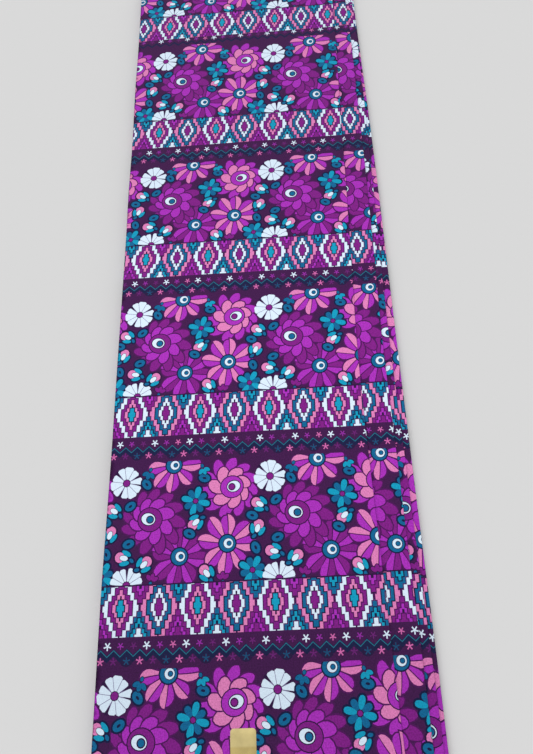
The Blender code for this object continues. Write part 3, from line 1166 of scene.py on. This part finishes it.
def makeLeaf(leaf):
    length, fold = leafForm["upper"], foldLength
    _, near, far = leafForm["ends"][leaf]
    high = topHeight - 2 * leaf * strip["layer"]
    settled = strip["wall"] - strip["cotton"]
    start = -fold - leafForm["tab"] if leaf else 0.0
    lastLeaf = leaf + 1 == strip["leaves"]

    def toSheet(across, along):
        left, right, end = leafSides(leaf, along)
        upper = (across - left) / (right - left) * length
        lower = length + fold + (across - right - fold) / (right - end) * length
        u = np.where(across < right, upper, length + across - right)
        u = np.where(across < left, across - left, u)
        return np.where(across > right + fold, lower, u), along

    def dyesOf(u, v):
        left, right, _ = leafSides(leaf, v)
        across = np.where(u < length, left + (right - left) * u / length, right + u - length)
        return dyesAt(np.where(u < 0, left + u, across), v, leaf)

    def place(u, v, depth):
        left, right, end = leafSides(leaf, v)
        turn = np.clip((u - length) / foldReach, 0.0, math.pi)
        turned = np.clip(-u / foldReach, 0.0, math.pi)
        # upper layer
        x = left + (right - left) * u / length
        settling = easing(1 - (x - left) / leafForm["settle"])
        z = high - depth - (settled if leaf else leafForm["droop"]) * settling
        # right fold
        there = (u > length) & (u < length + fold)
        x = np.where(there, right + (foldReach - depth) * np.sin(turn), x)
        z = np.where(there, high - foldReach + (foldReach - depth) * np.cos(turn), z)
        # lower layer
        there = u >= length + fold
        back = right + (end - right) * (u - length - fold) / length
        x = np.where(there, back, x)
        lift = 0.0 if lastLeaf else settled * easing(1 - (back - end) / leafForm["settle"])
        z = np.where(there, high - 2 * foldReach + lift + depth, z)
        # left fold, which shows the cloth's back, and its tab
        middle = high + (strip["layer"] - strip["wall"]) / 2
        inner = foldReach - strip["cotton"] + depth
        there = (u < 0) & (u > -fold)
        x = np.where(there, left - inner * np.sin(turned), x)
        z = np.where(there, middle - inner * np.cos(turned), z)
        there = (u <= -fold) & (leaf > 0)
        x = np.where(there, left - u - fold, x)
        z = np.where(there, middle + inner, z)
        share = np.clip((z - strip["innerHeight"]) / (topHeight - strip["innerHeight"]), 0.0, 1.0)
        z = z + ground(x, v) + ruffle(x, v) * share
        return np.stack((x - halfWidth, v - strip["length"] / 2, z), axis=1)

    if leaf:
        edges = np.linspace(0.0, strip["length"], 40)
        above = foldLine(leaf - 1, edges) - leafForm["window"]
        first = float(toSheet(above, edges)[0].min())
    else:
        first = 0.0
    last = length + fold + leafForm["under"]
    parts = [(0.0, length, "soft")]
    if leaf:
        parts = [(start, -fold, "hidden"), (-fold, 0.0, "fold")]
        parts += [(0.0, first, "hidden"), (first, length, "soft")]
    parts += [(length, length + fold, "fold"), (length + fold, 2 * length + fold, "hidden")]
    sheet = {
        "span": (start, 2 * length + fold),
        "reach": (near, strip["length"] - far),
        "printed": (printing["selvedge"], strip["length"] - printing["selvedge"]),
        "middle": strip["length"] / 2,
        "parts": parts,
        "front": [(first, last)],
        "back": [(-fold, 0.0)] if leaf else [],
        "bake": (
            (start, -fold, 0.0, first, last, 2 * length + fold),
            (0.00, 0.01, 0.02, 0.05, 0.95, 1.00) if leaf else (0.00, 0.00, 0.00, 0.00, 0.93, 1.00),
            (0.00, 0.05, 0.50, 0.60, 0.80, 1.00) if leaf else (0.00, 0.00, 0.00, 0.00, 0.50, 1.00),
        ),
        "toSheet": toSheet,
        "dyes": dyesOf,
        "place": place,
        "lay": leaf,
        "thick": strip["cotton"],
    }
    piece = makeCloth(leafNames[leaf] + "Cloth", sheet)
    piece.data.materials.append(cottonMaterial)
    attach(piece, "root")
    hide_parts(leafNames[leaf])
    wide = 2 * (float(foldLine(leaf, np.array(strip["length"] / 2))) - foldReach) + fold - start


leafNames = ("top_leaf", "second_leaf", "third_leaf", "fourth_leaf")


def makeInner():
    # the layers underneath are one sheet too, which goes to and fro eight times
    count, thick, flat = innerForm["layers"], innerForm["thick"], innerForm["flat"]
    height, tab, length = strip["innerHeight"], leafForm["tab"], strip["length"]
    layer = (height - thick) / (count - 1)
    radius = (layer + thick) / 2
    centres = [height - thick / 2 - i * layer for i in range(count)]
    radii = [innerForm["turn"]] + [radius] * (count - 1)
    places = [0.0, tab]
    for r in radii:
        places += [places[-1] + math.pi * r]
        places += [places[-1] + flat]
    insets = np.array(innerForm["folds"])
    middles = [(places[2 * i + 1] + places[2 * i + 2]) / 2 for i in range(count)] + [places[-1]]

    def ends(u):
        return np.interp(u, middles, insets[:, 2]), length - np.interp(u, middles, insets[:, 1])

    def side(i, v):
        # where fold i's middle lies; even ones are at the left
        wave = innerForm["wave"] * np.sin(v * (7 + 1.7 * i) + 2.1 * i) + insets[i, 0]
        if i % 2 == 0:
            return innerForm["left"] + radii[min(i, count - 1)] + wave
        return foldLine(strip["leaves"] - 1, v) - innerForm["right"] - radius - wave

    def toSheet(across, along):
        near, far = ends(across)
        return across, (along - near) / (far - near) * length

    def dyesOf(u, v):
        near, far = ends(u)
        return dyesAt(u, near + (far - near) * v / length, strip["leaves"])

    def place(u, v, depth):
        near, far = ends(u)
        along = near + (far - near) * v / length
        x = side(0, along) + tab - u
        z = np.full(len(u), centres[0] + 2 * radii[0] - thick / 2 - thick + depth)
        for i in range(count):
            r = radii[i]
            start, end = places[2 * i + 1], places[2 * i + 2]
            there = (u > start) & (u < end)
            turn = np.clip((u - start) / r, 0.0, math.pi)
            here = side(i, along)
            middle = centres[i] - thick / 2 + r
            reach = (r - depth) if i % 2 else (r - thick + depth)
            way = 1 if i % 2 else -1
            x = np.where(there, here + way * reach * np.sin(turn), x)
            z = np.where(there, middle + reach * np.cos(turn), z)
            there = u >= end
            share = (u - end) / flat
            x = np.where(there, here + (side(i + 1, along) - here) * share, x)
            up = thick / 2 - depth
            z = np.where(there, centres[i] + (-up if i % 2 else up), z)
        z = z + ground(x, along) * np.minimum(z / height, 1.0)
        return np.stack((x - halfWidth, along - length / 2, z), axis=1)

    parts = [(0.0, tab, "hidden")]
    for i in range(1, 2 * count + 1):
        parts.append((places[i], places[i + 1], "fold" if i % 2 else "hidden"))
    margin, selvedge = innerForm["window"], innerForm["selvedge"]
    windows = [(places[2 * i + 1] - margin, places[2 * i + 2] + margin) for i in range(count)]
    tabRoom, *layerRoom = innerForm["bake"]
    shares = np.cumsum([0.0, tabRoom] + layerRoom * count)
    sheet = {
        "span": (0.0, places[-1]),
        "reach": (0.0, length),
        "printed": (selvedge, length - selvedge),
        "middle": length / 2,
        "parts": parts,
        "front": windows[1::2],
        "back": windows[::2],
        "bake": (places, shares / shares[-1], shares / shares[-1]),
        "toSheet": toSheet,
        "dyes": dyesOf,
        "place": place,
        "lay": strip["leaves"],
        "thick": thick,
    }
    piece = makeCloth("innerCloth", sheet)
    piece.data.materials.append(cottonMaterial)
    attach(piece, "root")
    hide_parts("inner_layers")


cotton = {
    "thread": 0.00042,  # from one thread to the next
    "wander": 1.6,  # how far the threads stray, as an angle of their wave
    "wanderSize": 0.004,
    "slubSize": 0.0009,
    "slubStretch": 0.12,  # slubs are long along their thread
    "relief": 0.00007,
    "reliefStrength": 0.5,
    "mottleSize": 0.0015,
    "mottle": 0.19,  # how much lighter and darker the dye runs,
    "darkMottle": 1.3,  # times this in the dark dyes, and less in the pale ones
    "threadShade": 0.10,  # painted light: how much lighter the threads' tops are painted than the hollows between them
    "threadMean": 0.4,  # and what that comes to on average, as a share
    # painted light and shade along the strip, multiplied into the cloth's colour
    "paintedLightAlong": (
        # along the strip, painted light: the near end is painted duller, and the middle painted brighter
        # where it catches more light
        (0.00, 0.88),
        (0.13, 0.87),
        (0.20, 0.97),
        (0.32, 1.01),
        (0.50, 1.09),
        (0.64, 1.06),
        (0.78, 1.00),
        (1.19, 0.97),
    ),
    "roughness": 0.72,
    "gloss": 0.09,
    "nap": 0.02,
    "napSpread": 0.6,
}


def makeCotton():
    # a plain weave, from the flat cloth's own measures
    material, shader, add = newMaterial("printedCotton")
    dye = add("Attribute", attribute_name="dye").outputs["Color"]
    flat = add("UVMap", uv_map="cloth").outputs["UV"]
    split = add("SeparateXYZ", {"Vector": flat})

    def calculate(kind, first, second=0.0):
        return add("Math", {0: first, 1: second}, operation=kind).outputs["Value"]

    def noise(size, detail, alongX=1.0, alongY=1.0):
        scaled = add("VectorMath", {0: flat, 1: (alongX, alongY, 1.0)}, operation="MULTIPLY")
        inputs = {"Vector": scaled.outputs["Vector"], "Scale": 1 / size, "Detail": detail}
        return add("TexNoise", inputs, noise_dimensions="2D").outputs["Fac"]

    waves = []
    for axis in ("X", "Y"):
        wander = calculate("MULTIPLY", noise(cotton["wanderSize"], 1.0), cotton["wander"])
        steady = calculate("MULTIPLY", split.outputs[axis], math.pi / cotton["thread"])
        waves.append(calculate("SINE", calculate("ADD", steady, wander)))
    weave = calculate("MULTIPLY", *waves)
    size, stretch = cotton["slubSize"], cotton["slubStretch"]
    slubs = calculate("ADD", noise(size, 1.0, alongY=stretch), noise(size, 1.0, alongX=stretch))
    bump = add("Bump", {
        "Height": calculate("ADD", weave, slubs),
        "Strength": cotton["reliefStrength"],
        "Distance": cotton["relief"],
    })

    # the dye is uneven, most of all where it is dark, and the threads' tops get painted light
    clouds = calculate("SUBTRACT", noise(cotton["mottleSize"], 3.0), 0.5)
    channels = add("SeparateColor", {"Color": dye})
    uneven = calculate("SUBTRACT", cotton["darkMottle"], channels.outputs["Green"])
    mottled = calculate("MULTIPLY", calculate("MULTIPLY", clouds, 4 * cotton["mottle"]), uneven)
    # painted light on the weave: the threads' tops lighter, the hollows between them darker
    threadTopLight = calculate("MULTIPLY", calculate("ABSOLUTE", weave), cotton["threadShade"])
    level = 1.0 - cotton["threadShade"] * cotton["threadMean"]
    shade = calculate("ADD", calculate("ADD", mottled, threadTopLight), level)

    # and light is painted into its colour along the strip: darker at the near end, brighter in the middle
    brightestPaintedLight = max(paintedLightLevel for _, paintedLightLevel in cotton["paintedLightAlong"])
    ramp = add("ValToRGB", {"Fac": calculate("DIVIDE", split.outputs["Y"], strip["length"])})
    stops = ramp.color_ramp.elements
    for along, _ in cotton["paintedLightAlong"][1:-1]:
        stops.new(along / strip["length"])
    for stop, (_, paintedLightLevel) in zip(stops, cotton["paintedLightAlong"]):
        stop.color = (paintedLightLevel / brightestPaintedLight, paintedLightLevel / brightestPaintedLight, paintedLightLevel / brightestPaintedLight, 1.0)
    paintedLightLevel = calculate("MULTIPLY", ramp.outputs["Color"], brightestPaintedLight)
    tinted = add("VectorMath", {0: dye, "Scale": calculate("MULTIPLY", shade, paintedLightLevel)}, operation="SCALE")
    wire(shader, {
        "Base Color": tinted.outputs["Vector"],
        "Normal": bump.outputs["Normal"],
        "Roughness": cotton["roughness"],
        "Specular IOR Level": cotton["gloss"],
        "Sheen Weight": cotton["nap"],
        "Sheen Roughness": cotton["napSpread"],
    })
    return material


# The sticker, a plain piece of gold foil with rounded corners

sticker = {
    "across": 0.1554,
    "farEdge": 0.0740,
    "wide": 0.0265,
    "long": 0.0450,
    "thick": 0.00022,
    "corner": 0.0035,
    "edge": 0.00008,  # bevel round its outline
    "lift": 0.00003,  # of its underside from the cloth
    "smooth": 35.0,  # degrees up to which faces are smooth
    "gold": (0.57, 0.465, 0.20),
    "darkFrom": 0.0165,  # from the far edge; nearer than that the foil is darker
    "darkTint": (0.84, 0.79, 0.64),
    "blend": 0.001,  # half width of the border between the two
    "clouds": 90.0,  # per metre
    "cloudShades": (0.88, 1.08),
    "cloudStops": (0.3, 0.7),  # where on the clouds' scale these two lie
    "grain": 2400.0,  # per metre
    "grainDepth": 0.00004,
    "grainStrength": 0.15,
    "metal": 0.35,
    "roughness": 0.42,
}


def makeSticker():
    bpy.ops.mesh.primitive_grid_add(x_subdivisions=5, y_subdivisions=8, size=1.0)
    plate = bpy.context.active_object
    plate.name = "goldSticker"
    plate.scale = (sticker["wide"], sticker["long"], 1.0)
    bpy.ops.object.transform_apply(location=False, rotation=False, scale=True)
    bpy.ops.object.mode_set(mode="EDIT")
    bpy.ops.mesh.select_all(action="DESELECT")
    bpy.ops.object.mode_set(mode="OBJECT")
    for vertex in plate.data.vertices:
        atSide = abs(vertex.co.x) > sticker["wide"] * 0.49
        vertex.select = atSide and abs(vertex.co.y) > sticker["long"] * 0.49
    bpy.ops.object.mode_set(mode="EDIT")
    bpy.ops.mesh.bevel(offset=sticker["corner"], offset_type="OFFSET", segments=6, affect="VERTICES")
    bpy.ops.mesh.select_all(action="SELECT")
    bpy.ops.mesh.extrude_region_move(TRANSFORM_OT_translate={"value": (0.0, 0.0, sticker["thick"])})
    bpy.ops.mesh.region_to_loop()
    bpy.ops.mesh.bevel(offset=sticker["edge"], segments=2, affect="EDGES")
    bpy.ops.mesh.select_all(action="SELECT")
    bpy.ops.mesh.normals_make_consistent(inside=False)
    bpy.ops.object.mode_set(mode="OBJECT")
    points = np.array([v.co for v in plate.data.vertices])
    across = points[:, 0] + sticker["across"]
    along = points[:, 1] + sticker["farEdge"] - sticker["long"] / 2
    up = points[:, 2] + topHeight + sticker["lift"] + ground(across, along) + ruffle(across, along)
    placed = np.stack((across - halfWidth, along - strip["length"] / 2, up), axis=1)
    plate.data.vertices.foreach_set("co", placed.ravel())
    plate.data.update()
    bpy.ops.object.shade_smooth_by_angle(angle=math.radians(sticker["smooth"]))
    plate.data.materials.clear()
    plate.data.materials.append(makeGold())
    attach(plate, "root")
    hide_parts("gold_sticker")
    plate.select_set(False)
    print("the sticker is on")


def makeGold():
    gold, shader, add = newMaterial("goldFoil")
    place = add("TexCoord").outputs["Object"]
    clouds = add("TexNoise", {"Vector": place, "Scale": sticker["clouds"], "Detail": 3.0})
    ramp = add("ValToRGB", {"Fac": clouds.outputs["Fac"]})
    stops = ramp.color_ramp.elements
    for stop, position, shade in zip(stops, sticker["cloudStops"], sticker["cloudShades"]):
        stop.position = position
        stop.color = (*(min(shade * c, 1.0) for c in sticker["gold"]), 1.0)
    border = sticker["farEdge"] - sticker["darkFrom"] - strip["length"] / 2
    nearer = add("MapRange", {
        "Value": add("SeparateXYZ", {"Vector": place}).outputs["Y"],
        "From Min": border + sticker["blend"],
        "From Max": border - sticker["blend"],
    })
    tint = add("ValToRGB", {"Fac": nearer.outputs["Result"]})
    for stop, colour in zip(tint.color_ramp.elements, ((1.0, 1.0, 1.0), sticker["darkTint"])):
        stop.color = (*colour, 1.0)
    tinted = add("VectorMath", {0: ramp.outputs["Color"], 1: tint.outputs["Color"]}, operation="MULTIPLY")
    grain = add("TexNoise", {"Vector": place, "Scale": sticker["grain"]})
    bump = add("Bump", {
        "Height": grain.outputs["Fac"],
        "Strength": sticker["grainStrength"],
        "Distance": sticker["grainDepth"],
    })
    wire(shader, {
        "Base Color": tinted.outputs["Vector"],
        "Normal": bump.outputs["Normal"],
        "Metallic": sticker["metal"],
        "Roughness": sticker["roughness"],
    })
    return gold


cottonMaterial = makeCotton()
for leaf in range(strip["leaves"]):
    makeLeaf(leaf)
makeInner()
makeSticker()
